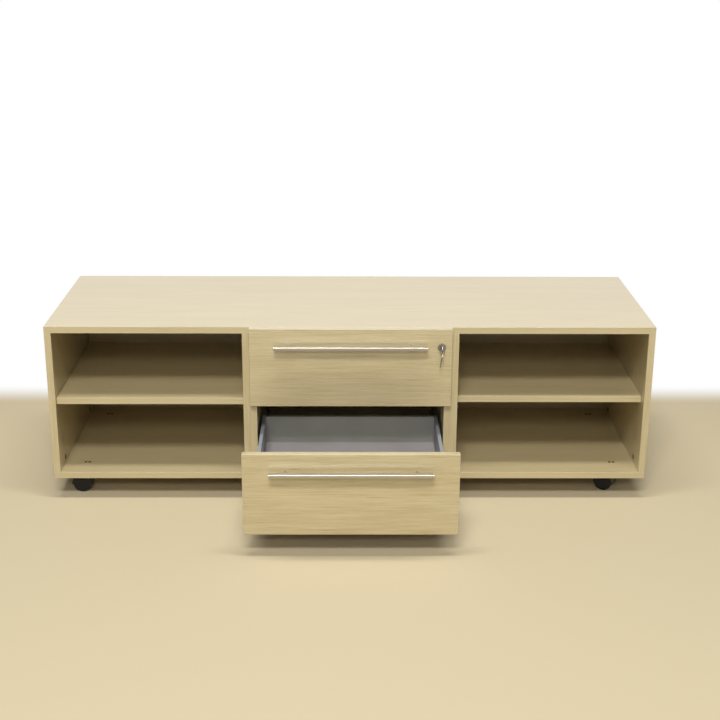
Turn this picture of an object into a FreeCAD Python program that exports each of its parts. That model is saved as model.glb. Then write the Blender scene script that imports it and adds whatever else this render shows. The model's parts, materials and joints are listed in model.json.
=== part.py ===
"""Sideboard on castors: three joined units, two metal-sided drawers, open shelves.

Millimetres. +X is the viewer's right, -Y is the front, +Z is up. The origin is on the
floor under the centre of the part as it stands, with its lower drawer open.
"""
import FreeCAD, Part
import math
import os

V = FreeCAD.Vector

# Boards and carcass
WIDTH = 1600.0
DEPTH = 500.0
CARCASS_HEIGHT = 430.0
UNITS = 3
BOARD = 18.0
EDGE_ROUND = 0.6
CASTOR_HEIGHT = 62.0
SHELF_TOP_DROP = 202.0
SHELF_SETBACK_LEFT = 12.0
SHELF_SETBACK_RIGHT = 30.0
SHELF_SIDE_GAP = 0.5

# Drawer fronts and the places of the two drawers
FRONT_BOARD = 18.0
FRONT_GAP = 3.0
FRONT_REVEAL = 1.5
FRONT_STANDOFF = 1.0
LOWER_OPEN = 318.0

# Drawer boxes: the floor stands over the front's lower edge, the rim over the floor
FLOOR_RISE = 54.3
BOX_WALL = 75.7
FLOOR_BOARD = 12.0
BOX_BACK_BOARD = 12.0
BOX_REAR_ROOM = 28.0
BOX_SIDE_GAP = 6.7
BOX_SIDE_WIDTH = 9.0
SHEET = 1.2
SIDE_LIP = 9.0
FLOOR_LEDGE = 9.0
FOOT_REACH = 13.4
BRACKET_HEIGHT = 64.0

# Runners
RAIL_SHEET = 1.5
RAIL_SETBACK = 3.0
RAIL_REAR_ROOM = 29.0
TRACK_GAP = 2.0
ROLLER_R = 7.0
ROLLER_WIDTH = 4.4
ROLLER_AXLE_R = 2.0
RUNNING_GAP = 0.05
ROLLING_GAP = 0.3
STUB_REACH = 0.8
RAIL_TOP_GAP = 1.3
CABINET_ROLLER_SETBACK = 16.0
BOX_ROLLER_INSET = 12.0

# Handles
HANDLE_LENGTH = 400.0
HANDLE_DROP = 44.5
HANDLE_HEIGHT = 9.0
HANDLE_DEPTH = 17.0
HANDLE_ROUND = 1.6
HANDLE_FINGER_GAP = 15.0
HANDLE_HOLE_SPACING = 320.0
POST_R = 3.0

# Lock and keys
LOCK_INSET = 10.7
LOCK_OVER_RIM = 34.0
ROSETTE_R = 11.0
ROSETTE_THICK = 2.0
HOUSING_R = 9.0
HOUSING_TAIL = 4.5
PLUG_R = 6.0
CAM_REACH = 20.0
CAM_WIDTH = 8.0
CAM_THICK = 2.5
KEY_THICK = 2.2
KEY_BOW_R = 9.0
KEY_SHANK = 4.0
KEY_SHANK_HEIGHT = 6.3
KEY_BLADE = 20.0
KEY_HOLE_R = 3.0
KEY_HOLE_OFFSET = 5.0
RING_R = 6.0
RING_WIRE_R = 0.8
SPARE_TILT = 8.0
STRIKE_THICK = 1.0
STRIKE_MARGIN = 8.0
STRIKE_CLEAR = 0.6

# Small fixings
SCREW_R = 1.6
SCREW_HEAD_R = 3.2
SCREW_HEAD = 1.4
SCREW_DEPTH = 12.0
HOLE_GAP = 0.1
CUT_THROUGH = 1.0
CAM_DISC_R = 7.5
CAM_DISC_DEPTH = 12.0
CAM_DISC_RISE = 16.0
CAM_DISC_INSET_FRONT = 70.0
CAM_DISC_INSET_BACK = 70.0
CAM_DISC_SINK = 0.3
CAM_BOLT_R = 3.0
CAM_BOLT_ROOT = 10.0
PIN_R = 2.5
PIN_IN = 9.0
PIN_OUT = 7.0
PIN_INSET = 45.0
UNIT_SCREW_R = 2.5
UNIT_SCREW_HEAD_R = 5.0
UNIT_SCREW_HEAD = 1.2
UNIT_SCREW_INSET_FRONT = 120.0
UNIT_SCREW_INSET_BACK = 100.0
UNIT_SCREW_DROPS = (60.0, 236.0)
FLOOR_SCREW_PITCH = 10.5
FLOOR_SCREW_HEAD_R = 4.0
RAIL_SCREW_INSET_FRONT = 34.0
RAIL_SCREW_INSET_BACK = 63.0

# Castors
CASTOR_INSET_X = 78.0
CASTOR_INSET_Y = 69.0
CASTOR_PLATE = 38.0
CASTOR_PLATE_THICK = 2.0
STEM_R = 4.0
STEM_LENGTH = 20.0
WHEEL_R = 24.0
WHEEL_WIDTH = 12.0
WHEEL_ROUND = 2.5
CASTOR_TRAIL = 15.0
HOOD_WEB = 13.0
HOOD_GAP = 0.7
HOOD_SKIN = 2.5
HOOD_BOSS_R = 8.0
AXLE_R = 2.5
AXLE_SHORT = 1.0
# The way each castor trails, in degrees from +X
CASTOR_TRAIL_DIRECTION = {
    "front_left": 180.0,
    "front_right": 148.0,
    "back_left": 205.0,
    "back_right": 130.0,
}

# Places worked out from the sizes above
HANDLE_PROJECTION = HANDLE_FINGER_GAP + HANDLE_DEPTH
REACH = LOWER_OPEN + FRONT_STANDOFF + FRONT_BOARD + HANDLE_PROJECTION
FRONT_Y = -(DEPTH - REACH) / 2
BACK_Y = FRONT_Y + DEPTH
TOP_Z = CASTOR_HEIGHT + CARCASS_HEIGHT
TOP_UNDER_Z = TOP_Z - BOARD
BASE_Z = CASTOR_HEIGHT
FLOOR_Z = BASE_Z + BOARD
UNIT_WIDTH = WIDTH / UNITS
BACK_INNER_Y = BACK_Y - BOARD
FRONT_HEIGHT = (CARCASS_HEIGHT - FRONT_GAP) / 2
FLOOR_DROP = FRONT_HEIGHT - FLOOR_RISE
RIM_DROP = FLOOR_DROP - BOX_WALL
BOX_BACK_INNER = DEPTH - BOARD + FRONT_STANDOFF - BOX_BACK_BOARD - BOX_REAR_ROOM
RAIL_LENGTH = DEPTH - BOARD - RAIL_SETBACK - RAIL_REAR_ROOM
FRONT_HALF = UNIT_WIDTH / 2 - FRONT_REVEAL
BAY_HALF = UNIT_WIDTH / 2 - BOARD
LOCK_X = BAY_HALF - LOCK_INSET
LOCK_DROP = RIM_DROP - LOCK_OVER_RIM
BOX_OUTER = BAY_HALF - BOX_SIDE_GAP
BOX_INNER = BOX_OUTER - BOX_SIDE_WIDTH
RAIL_FACE = BAY_HALF - RAIL_SHEET
ROLLER_OUTER = BOX_INNER + FOOT_REACH
ROLLER_INNER = ROLLER_OUTER - ROLLER_WIDTH
SHELF_Z = TOP_Z - SHELF_TOP_DROP - BOARD
SIDE_XS = {
    "side_left_outer": (-WIDTH / 2, 1),
    "side_left_inner": (-UNIT_WIDTH / 2 - BOARD, -1),
    "side_middle_left": (-UNIT_WIDTH / 2, 1),
    "side_middle_right": (UNIT_WIDTH / 2 - BOARD, -1),
    "side_right_inner": (UNIT_WIDTH / 2, 1),
    "side_right_outer": (WIDTH / 2 - BOARD, -1),
}


def block(x0, x1, y0, y1, z0, z1):
    """Return the box between two values on each axis."""
    return Part.makeBox(x1 - x0, y1 - y0, z1 - z0, V(x0, y0, z0))


def board(x0, x1, y0, y1, z0, z1):
    """Return a board with its arrises just broken."""
    solid = block(x0, x1, y0, y1, z0, z1)
    return solid.makeFillet(EDGE_ROUND, solid.Edges)


def rod(start, end, radius):
    """Return a round bar from one point to another."""
    start = V(*start)
    run = V(*end) - start
    return Part.makeCylinder(radius, run.Length, start, run)


def joined(solids):
    """Return the solids as one."""
    first = solids[0]
    return first.multiFuse(solids[1:]).removeSplitter() if len(solids) > 1 else first


def export(name, solids):
    """Write one node's solids to its own file."""
    shape = solids[0] if len(solids) == 1 else Part.makeCompound(solids)
    shape.exportStep("parts/" + name + ".step")
    print(name, len(shape.Solids), "valid" if shape.isValid() else "INVALID")


def mirrored_x(solid):
    """Return the solid's mirror image across the middle of the part."""
    return solid.mirror(V(0, 0, 0), V(1, 0, 0))


def connector_ys():
    """Return the front and back rows of the cam connectors."""
    return (FRONT_Y + CAM_DISC_INSET_FRONT, BACK_Y - CAM_DISC_INSET_BACK)


def connector_x(side):
    """Return the middle of a side panel's thickness."""
    return SIDE_XS[side][0] + BOARD / 2


def inner_face(side):
    """Return the X of the face that a side panel shows to its own unit, and its outward sign."""
    x, sign = SIDE_XS[side]
    return (x + BOARD, 1) if sign > 0 else (x, -1)


def cam_connector_pieces(side, gap):
    """Return the discs and bolts in one side panel, each larger by gap."""
    face, sign = inner_face(side)
    pieces = []
    for y in connector_ys():
        for board_z, way in ((FLOOR_Z, 1), (TOP_UNDER_Z, -1)):
            disc_z = board_z + way * CAM_DISC_RISE
            sink = CAM_DISC_SINK if gap == 0 else 0
            outer = (face - sign * sink, y, disc_z)
            deep = (face - sign * (CAM_DISC_DEPTH + gap), y, disc_z)
            pieces.append(rod(outer, deep, CAM_DISC_R + gap))
            x = connector_x(side)
            root = (x, y, board_z - way * (CAM_BOLT_ROOT + gap))
            tip = (x, y, disc_z - way * (CAM_DISC_R + 2 * HOLE_GAP))
            pieces.append(rod(root, tip, CAM_BOLT_R + gap))
    return pieces


def pin_places():
    """Return each shelf pin's panel, Y and Z."""
    rows = {
        "side_left_outer": SHELF_SETBACK_LEFT,
        "side_left_inner": SHELF_SETBACK_LEFT,
        "side_right_inner": SHELF_SETBACK_RIGHT,
        "side_right_outer": SHELF_SETBACK_RIGHT,
    }
    z = SHELF_Z - PIN_R - HOLE_GAP
    places = []
    for side, setback in rows.items():
        places.append((side, FRONT_Y + setback + PIN_INSET, z))
        places.append((side, BACK_INNER_Y - PIN_INSET, z))
    return places


def shelf_pin(side, y, z, gap):
    """Return one shelf pin, or its hole when gap is over nothing."""
    face, sign = inner_face(side)
    out = PIN_OUT if gap == 0 else CUT_THROUGH
    start = (face - sign * (PIN_IN + gap), y, z)
    return rod(start, (face + sign * out, y, z), PIN_R + gap)


def unit_screw(joint_x, y, z, gap):
    """Return a sleeve screw through two neighbouring side panels."""
    reach = BOARD if gap == 0 else BOARD + CUT_THROUGH
    solid = rod((joint_x - reach, y, z), (joint_x + reach, y, z), UNIT_SCREW_R + gap)
    if gap > 0:
        return solid
    heads = []
    for sign in (-1, 1):
        start = (joint_x + sign * BOARD, y, z)
        end = (joint_x + sign * (BOARD + UNIT_SCREW_HEAD), y, z)
        heads.append(rod(start, end, UNIT_SCREW_HEAD_R))
    return joined([solid] + heads)


def unit_screw_places():
    """Return the joint plane, Y and Z of every screw between two units."""
    places = []
    for joint_x in (-UNIT_WIDTH / 2, UNIT_WIDTH / 2):
        for y in (FRONT_Y + UNIT_SCREW_INSET_FRONT, BACK_Y - UNIT_SCREW_INSET_BACK):
            for drop in UNIT_SCREW_DROPS:
                places.append((joint_x, y, TOP_Z - drop))
    return places


def castor_places():
    """Return the name and the swivel axis of each castor."""
    places = {}
    for row, y in (("front", FRONT_Y + CASTOR_INSET_Y), ("back", BACK_Y - CASTOR_INSET_Y)):
        for hand, sign in (("left", -1), ("right", 1)):
            places[row + "_" + hand] = (sign * (WIDTH / 2 - CASTOR_INSET_X), y)
    return places


def floor_screw(x, y, gap):
    """Return the screw that holds a castor plate from the floor of its unit."""
    bottom = BASE_Z - CASTOR_PLATE_THICK
    shank = rod((x, y, bottom), (x, y, FLOOR_Z), SCREW_R + gap)
    if gap > 0:
        return shank
    head = rod((x, y, FLOOR_Z), (x, y, FLOOR_Z + SCREW_HEAD / 2), FLOOR_SCREW_HEAD_R)
    return joined([shank, head])


def floor_screw_places():
    """Return the X and Y of the pair of screws over each castor."""
    places = []
    for x, y in castor_places().values():
        places.append((x - FLOOR_SCREW_PITCH / 2, y))
        places.append((x + FLOOR_SCREW_PITCH / 2, y))
    return places


def rail_datum(front_top):
    """Return the level of the drawer foot's underside under a front's top."""
    return front_top - FLOOR_DROP - FLOOR_BOARD - SHEET


def rail_levels(front_top):
    """Return the levels of a cabinet rail: its base, its track, its roller and its top."""
    foot = rail_datum(front_top)
    roller = foot - ROLLING_GAP - ROLLER_R
    track = roller - ROLLER_R - ROLLING_GAP - TRACK_GAP
    top = foot + SHEET + RAIL_TOP_GAP
    return track - RAIL_SHEET, track, roller, top


def cabinet_screw_places(front_top):
    """Return the Y and Z of a cabinet rail's screws."""
    z = rail_datum(front_top) - ROLLER_R
    first = FRONT_Y + RAIL_SETBACK + RAIL_SCREW_INSET_FRONT
    last = FRONT_Y + RAIL_SETBACK + RAIL_LENGTH - RAIL_SCREW_INSET_BACK
    return [(y, z) for y in (first, (first + last) / 2, last)]


def rail_screw(sign, y, z, gap):
    """Return a screw sunk flush in a cabinet rail and held in its side panel."""
    seat = (sign * BAY_HALF, y, z)
    head = rod((sign * RAIL_FACE, y, z), seat, SCREW_HEAD_R + gap)
    tip = (sign * (BAY_HALF + SCREW_DEPTH + gap), y, z)
    return joined([head, rod(seat, tip, SCREW_R + gap)])


def front_tops():
    """Return the level of each drawer front's top."""
    return {"upper": TOP_Z, "lower": TOP_Z - FRONT_HEIGHT - FRONT_GAP}


def drawer_front_y(drawer):
    """Return the Y of the back face of a drawer's front, as the part stands."""
    opened = {"upper": 0.0, "lower": LOWER_OPEN}[drawer]
    return FRONT_Y - FRONT_STANDOFF - opened


def cam_plane():
    """Return the front and back of the lock's cam, with the drawer closed."""
    start = FRONT_Y - FRONT_STANDOFF + HOUSING_TAIL + ROLLING_GAP
    return start, start + CAM_THICK


def strike_slot(depth_from, depth_to, margin):
    """Return the slot that the lock's cam turns into."""
    y0, y1 = cam_plane()
    lock_z = TOP_Z - LOCK_DROP
    low = lock_z - math.hypot(CAM_REACH, CAM_WIDTH / 2) - margin
    high = lock_z + CAM_WIDTH / 2 + margin
    return block(depth_from, depth_to, y0 - margin, y1 + margin, low, high)


def strike_screw_places():
    """Return the Y and Z of the strike plate's two screws, both under its slot."""
    y0, y1 = cam_plane()
    slot_low = TOP_Z - LOCK_DROP - math.hypot(CAM_REACH, CAM_WIDTH / 2)
    first = slot_low - STRIKE_MARGIN * 0.75
    return [((y0 + y1) / 2, first), ((y0 + y1) / 2, first - STRIKE_MARGIN)]


def strike_screw(y, z, gap):
    """Return a screw through the strike plate into the side panel."""
    face = BAY_HALF - STRIKE_THICK
    start = (face, y, z)
    shank = rod(start, (face + SCREW_DEPTH + gap, y, z), SCREW_R + gap)
    if gap > 0:
        return shank
    head = rod((face - SCREW_HEAD / 2, y, z), start, SCREW_HEAD_R)
    return joined([shank, head])


def make_boards():
    """Make the top, the bottoms, the side panels, the backs and the shelves."""
    export("top_panel", [top_panel()])
    names = ("left", "middle", "right")
    for index, name in enumerate(names):
        x0 = -WIDTH / 2 + index * UNIT_WIDTH
        export("bottom_" + name, [unit_bottom(x0, x0 + UNIT_WIDTH)])
        inner = (x0 + BOARD, x0 + UNIT_WIDTH - BOARD)
        export("back_" + name, [board(*inner, BACK_INNER_Y, BACK_Y, FLOOR_Z, TOP_UNDER_Z)])
    setbacks = {"left": SHELF_SETBACK_LEFT, "right": SHELF_SETBACK_RIGHT}
    for name, setback in setbacks.items():
        x0 = -WIDTH / 2 if name == "left" else UNIT_WIDTH / 2
        inner = (x0 + BOARD + SHELF_SIDE_GAP, x0 + UNIT_WIDTH - BOARD - SHELF_SIDE_GAP)
        shelf = board(*inner, FRONT_Y + setback, BACK_INNER_Y, SHELF_Z, SHELF_Z + BOARD)
        export("shelf_" + name, [shelf])
    for side in SIDE_XS:
        export(side, [side_panel(side)])


def top_panel():
    """Return the top board, bored from below for the connectors' bolts."""
    solid = board(-WIDTH / 2, WIDTH / 2, FRONT_Y, BACK_Y, TOP_UNDER_Z, TOP_Z)
    return solid.cut(Part.makeCompound(all_connectors(HOLE_GAP)))


def unit_bottom(x0, x1):
    """Return one unit's bottom board with its bolt and castor screw holes."""
    solid = board(x0, x1, FRONT_Y, BACK_Y, BASE_Z, FLOOR_Z)
    holes = all_connectors(HOLE_GAP)
    holes += [floor_screw(x, y, HOLE_GAP) for x, y in floor_screw_places()]
    return solid.cut(Part.makeCompound(holes))


def all_connectors(gap):
    """Return every cam connector's disc and bolt, each larger by gap."""
    return [piece for side in SIDE_XS for piece in cam_connector_pieces(side, gap)]


def side_panel(side):
    """Return one side panel with the holes for all that is let into it."""
    x, sign = SIDE_XS[side]
    solid = board(x, x + BOARD, FRONT_Y, BACK_Y, FLOOR_Z, TOP_UNDER_Z)
    holes = cam_connector_pieces(side, HOLE_GAP)
    holes += [shelf_pin(*place, HOLE_GAP) for place in pin_places() if place[0] == side]
    for joint_x, y, z in unit_screw_places():
        if abs(joint_x - connector_x(side)) < BOARD:
            holes.append(unit_screw(joint_x, y, z, HOLE_GAP))
    if side in ("side_middle_left", "side_middle_right"):
        hand = 1 if side == "side_middle_right" else -1
        for front_top in front_tops().values():
            for y, z in cabinet_screw_places(front_top):
                holes.append(rail_screw(hand, y, z, HOLE_GAP))
    if side == "side_middle_right":
        holes.append(strike_slot(BAY_HALF - CUT_THROUGH, LOCK_X + CAM_REACH + CAM_THICK,
                                 STRIKE_CLEAR))
        holes += [strike_screw(y, z, HOLE_GAP) for y, z in strike_screw_places()]
    return solid.cut(Part.makeCompound(holes))


def make_fixings():
    """Make the connectors, pins and screws of the carcass."""
    export("cam_connectors", all_connectors(0))
    export("shelf_pins", [shelf_pin(*place, 0) for place in pin_places()])
    export("unit_screws", [unit_screw(*place, 0) for place in unit_screw_places()])
    export("floor_screws", [floor_screw(x, y, 0) for x, y in floor_screw_places()])
    screws = []
    for front_top in front_tops().values():
        for y, z in cabinet_screw_places(front_top):
            screws += [rail_screw(hand, y, z, 0) for hand in (-1, 1)]
    screws += [strike_screw(y, z, 0) for y, z in strike_screw_places()]
    export("fitting_screws", screws)


def cabinet_rail(front_top):
    """Return the right-hand cabinet rail of one drawer, with its roller's stub."""
    base, track, roller, top = rail_levels(front_top)
    y0 = FRONT_Y + RAIL_SETBACK
    y1 = y0 + RAIL_LENGTH
    web = block(RAIL_FACE, BAY_HALF, y0, y1, base, top + RAIL_SHEET)
    lower = block(ROLLER_INNER - STUB_REACH, BAY_HALF, y0, y1, base, track)
    upper = block(ROLLER_OUTER - 2 * RAIL_SHEET, BAY_HALF, y0, y1, top, top + RAIL_SHEET)
    y = FRONT_Y + CABINET_ROLLER_SETBACK
    stub = rod((ROLLER_INNER - STUB_REACH, y, roller), (RAIL_FACE, y, roller), ROLLER_AXLE_R)
    solid = joined([web, lower, upper, stub])
    holes = [rail_screw(1, y, z, HOLE_GAP) for y, z in cabinet_screw_places(front_top)]
    return solid.cut(Part.makeCompound(holes))


def roller(y, z):
    """Return the right-hand roller at a place."""
    solid = rod((ROLLER_INNER, y, z), (ROLLER_OUTER, y, z), ROLLER_R)
    bore = rod((ROLLER_INNER - CUT_THROUGH, y, z), (ROLLER_OUTER + CUT_THROUGH, y, z),
               ROLLER_AXLE_R + RUNNING_GAP)
    return solid.cut(bore)


def make_runners():
    """Make the cabinet rails, their rollers and the lock's strike plate."""
    for drawer, front_top in front_tops().items():
        rail = cabinet_rail(front_top)
        export("cabinet_rails_" + drawer, [mirrored_x(rail), rail])
        base, track, roller_z, top = rail_levels(front_top)
        wheel = roller(FRONT_Y + CABINET_ROLLER_SETBACK, roller_z)
        export("cabinet_rollers_" + drawer, [mirrored_x(wheel), wheel])
    y0, y1 = cam_plane()
    lock_z = TOP_Z - LOCK_DROP
    low = strike_screw_places()[-1][1] - STRIKE_MARGIN * 0.6
    high = lock_z + CAM_WIDTH / 2 + STRIKE_MARGIN * 0.4
    plate_y = (FRONT_Y + EDGE_ROUND, y1 + STRIKE_MARGIN)
    plate = block(BAY_HALF - STRIKE_THICK, BAY_HALF, *plate_y, low, high)
    holes = [strike_slot(BAY_HALF - 2 * STRIKE_THICK, BAY_HALF + STRIKE_THICK, STRIKE_CLEAR)]
    holes += [strike_screw(y, z, HOLE_GAP) for y, z in strike_screw_places()]
    export("strike_plate", [plate.cut(Part.makeCompound(holes))])


def bracket_screw_levels(front_top):
    """Return the levels of the two screws that hold a metal side to its front."""
    top = front_top - RIM_DROP - SIDE_LIP - SHEET
    return (top - BRACKET_HEIGHT * 0.2, top - BRACKET_HEIGHT * 0.8)


def bracket_x():
    """Return the middle of the hollow between a metal side's wall and its outer lip."""
    return (BOX_INNER + SHEET + BOX_OUTER) / 2


def front_screw(sign, y, z, gap):
    """Return a screw through a side's bracket into the back of its front."""
    start = (sign * bracket_x(), y + SHEET, z)
    shank = rod(start, (sign * bracket_x(), y - SCREW_DEPTH - gap, z), SCREW_R + gap)
    if gap > 0:
        return shank
    head = rod(start, (sign * bracket_x(), y + SHEET + SCREW_HEAD, z), SCREW_HEAD_R)
    return joined([shank, head])


def handle_screw(x, y, z, gap):
    """Return a screw through the front into a handle post."""
    shank = rod((x, y, z), (x, y - FRONT_BOARD - SCREW_DEPTH - gap, z), SCREW_R + gap)
    if gap > 0:
        return shank
    head = rod((x, y, z), (x, y + SCREW_HEAD, z), SCREW_HEAD_R)
    return joined([shank, head])


def handle(y, front_top):
    """Return one handle: a bar with rounded arrises on two posts."""
    face = y - FRONT_BOARD
    z = front_top - HANDLE_DROP
    bar_front = face - HANDLE_PROJECTION
    half = HANDLE_LENGTH / 2
    bar = block(-half, half, bar_front, bar_front + HANDLE_DEPTH,
                z - HANDLE_HEIGHT / 2, z + HANDLE_HEIGHT / 2)
    long_edges = [e for e in bar.Edges if abs(e.BoundBox.XLength - HANDLE_LENGTH) < 0.01]
    bar = bar.makeFillet(HANDLE_ROUND, long_edges)
    posts = []
    holes = []
    for x in (-HANDLE_HOLE_SPACING / 2, HANDLE_HOLE_SPACING / 2):
        posts.append(rod((x, face, z), (x, bar_front + HANDLE_DEPTH / 2, z), POST_R))
        holes.append(handle_screw(x, y, z, HOLE_GAP))
    return joined([bar] + posts).cut(Part.makeCompound(holes))


def metal_side(y, front_top):
    """Return the right-hand metal side of a drawer, with its foot and rear roller stub."""
    rim = front_top - RIM_DROP
    foot = rail_datum(front_top)
    end = y + BOX_BACK_INNER + BOX_BACK_BOARD
    wall = block(BOX_INNER, BOX_INNER + SHEET, y, end, foot, rim)
    rim_sheet = block(BOX_INNER, BOX_OUTER, y, end, rim - SHEET, rim)
    lip = block(BOX_OUTER - SHEET, BOX_OUTER, y, end, rim - SIDE_LIP, rim)
    ledge = block(BOX_INNER - FLOOR_LEDGE, BOX_INNER + SHEET, y, end, foot, foot + SHEET)
    foot_sheet = block(BOX_INNER, ROLLER_OUTER, y, end, foot, foot + SHEET)
    bracket_top = rim - SIDE_LIP - SHEET
    bracket = block(BOX_INNER, BOX_OUTER, y, y + SHEET, bracket_top - BRACKET_HEIGHT, bracket_top)
    tab_x = ROLLER_INNER - SHEET - 2 * ROLLING_GAP
    axle_y = end - BOX_ROLLER_INSET
    axle_z = box_roller_level(front_top)
    tab = block(tab_x, tab_x + SHEET, axle_y - ROLLER_R, axle_y + ROLLER_R,
                axle_z - 2 * ROLLER_AXLE_R, foot + SHEET)
    stub = rod((tab_x, axle_y, axle_z), (ROLLER_OUTER + ROLLING_GAP, axle_y, axle_z), ROLLER_AXLE_R)
    solid = joined([wall, rim_sheet, lip, ledge, foot_sheet, bracket, tab, stub])
    holes = [front_screw(1, y, z, HOLE_GAP) for z in bracket_screw_levels(front_top)]
    return solid.cut(Part.makeCompound(holes))


def box_roller_level(front_top):
    """Return the axle level of the roller at a drawer's rear end."""
    base, track, roller_z, top = rail_levels(front_top)
    return track + ROLLING_GAP + ROLLER_R


def drawer_front(drawer, y, front_top):
    """Return one drawer front, bored for its screws and, on the upper one, its lock."""
    low = front_top - FRONT_HEIGHT
    solid = board(-FRONT_HALF, FRONT_HALF, y - FRONT_BOARD, y, low, front_top)
    holes = []
    for x in (-HANDLE_HOLE_SPACING / 2, HANDLE_HOLE_SPACING / 2):
        holes.append(handle_screw(x, y, front_top - HANDLE_DROP, HOLE_GAP))
    for sign in (-1, 1):
        holes += [front_screw(sign, y, z, HOLE_GAP) for z in bracket_screw_levels(front_top)]
    if drawer == "upper":
        lock_z = front_top - LOCK_DROP
        start = (LOCK_X, y + CUT_THROUGH, lock_z)
        end = (LOCK_X, y - FRONT_BOARD - CUT_THROUGH, lock_z)
        holes.append(rod(start, end, HOUSING_R + HOLE_GAP))
    return solid.cut(Part.makeCompound(holes))


def make_drawer(drawer):
    """Make all the pieces of one drawer."""
    y = drawer_front_y(drawer)
    front_top = front_tops()[drawer]
    export(drawer + "_front", [drawer_front(drawer, y, front_top)])
    side = metal_side(y, front_top)
    export(drawer + "_side_right", [side])
    export(drawer + "_side_left", [mirrored_x(side)])
    floor_top = front_top - FLOOR_DROP
    back_y = y + BOX_BACK_INNER
    back_end = back_y + BOX_BACK_BOARD
    export(drawer + "_floor", [block(-BOX_INNER, BOX_INNER, y, back_end,
                                     floor_top - FLOOR_BOARD, floor_top)])
    export(drawer + "_back", [block(-BOX_INNER, BOX_INNER, back_y, back_end,
                                    floor_top, front_top - RIM_DROP)])
    screws = []
    for sign in (-1, 1):
        screws += [front_screw(sign, y, z, 0) for z in bracket_screw_levels(front_top)]
    export(drawer + "_front_screws", screws)
    export(drawer + "_handle", [handle(y, front_top)])
    z = front_top - HANDLE_DROP
    xs = (-HANDLE_HOLE_SPACING / 2, HANDLE_HOLE_SPACING / 2)
    export(drawer + "_handle_screws", [handle_screw(x, y, z, 0) for x in xs])
    wheel = roller(back_end - BOX_ROLLER_INSET, box_roller_level(front_top))
    export(drawer + "_box_rollers", [mirrored_x(wheel), wheel])


def make_lock():
    """Make the lock on the upper front, its key, and the spare key on its ring."""
    z = TOP_Z - LOCK_DROP
    back = drawer_front_y("upper")
    face = back - FRONT_BOARD
    nose = face - ROSETTE_THICK
    tail = back + HOUSING_TAIL
    housing = joined([
        rod((LOCK_X, face, z), (LOCK_X, nose, z), ROSETTE_R),
        rod((LOCK_X, face, z), (LOCK_X, tail, z), HOUSING_R),
    ])
    bore = rod((LOCK_X, nose - CUT_THROUGH, z), (LOCK_X, tail + CUT_THROUGH, z),
               PLUG_R + RUNNING_GAP)
    export("lock_housing", [housing.cut(bore)])
    cam_y0, cam_y1 = cam_plane()
    plug = rod((LOCK_X, nose, z), (LOCK_X, cam_y0, z), PLUG_R)
    post = rod((LOCK_X, cam_y0, z), (LOCK_X, cam_y1 + SCREW_HEAD, z), SCREW_HEAD_R)
    keyway = block(LOCK_X - KEY_THICK / 2 - HOLE_GAP, LOCK_X + KEY_THICK / 2 + HOLE_GAP,
                   nose - CUT_THROUGH, nose + KEY_BLADE - KEY_SHANK + HOLE_GAP,
                   z - KEY_SHANK_HEIGHT / 2 - HOLE_GAP, z + KEY_SHANK_HEIGHT / 2 + HOLE_GAP)
    export("lock_plug", [joined([plug, post]).cut(keyway)])
    arm = block(LOCK_X - CAM_WIDTH / 2, LOCK_X + CAM_WIDTH / 2, cam_y0, cam_y1, z - CAM_REACH, z)
    disc = rod((LOCK_X, cam_y0, z), (LOCK_X, cam_y1, z), PLUG_R)
    hole = rod((LOCK_X, cam_y0 - CUT_THROUGH, z), (LOCK_X, cam_y1 + CUT_THROUGH, z),
               SCREW_HEAD_R + RUNNING_GAP)
    export("lock_cam", [joined([arm, disc]).cut(hole)])
    export("lock_key", [key(LOCK_X, nose - KEY_SHANK, z)])
    hole_y = key_hole_y(nose - KEY_SHANK)
    hang = KEY_HOLE_R - RING_WIRE_R - 2 * HOLE_GAP
    ring_top = z - hang
    ring = Part.makeTorus(RING_R, RING_WIRE_R, V(LOCK_X, hole_y, ring_top - RING_R), V(0, 1, 0))
    export("key_ring", [ring])
    spare = key(LOCK_X, 0, 0)
    spare.translate(V(0, -key_hole_y(0), 0))
    spare.rotate(V(LOCK_X, 0, 0), V(1, 0, 0), -90)
    spare.rotate(V(LOCK_X, 0, 0), V(0, 1, 0), SPARE_TILT)
    slack = KEY_THICK * math.sin(math.radians(SPARE_TILT))
    spare.translate(V(0, hole_y, ring_top - 2 * RING_R - hang + slack))
    export("spare_key", [spare])


def key_hole_y(bow_end_y):
    """Return the Y of the hole in a key's bow."""
    return bow_end_y - 2 * KEY_BOW_R + KEY_HOLE_OFFSET


def key(x, bow_end_y, z):
    """Return a flat key along Y whose bow ends at bow_end_y, with its blade towards +Y."""
    half = KEY_THICK / 2
    centre_y = bow_end_y - KEY_BOW_R
    bow = rod((x - half, centre_y, z), (x + half, centre_y, z), KEY_BOW_R)
    blade_half = KEY_SHANK_HEIGHT / 2
    blade = block(x - half, x + half, centre_y, bow_end_y + KEY_BLADE,
                  z - blade_half, z + blade_half)
    hole_y = key_hole_y(bow_end_y)
    hole = rod((x - KEY_THICK, hole_y, z), (x + KEY_THICK, hole_y, z), KEY_HOLE_R)
    return joined([bow, blade]).cut(hole)


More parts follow.
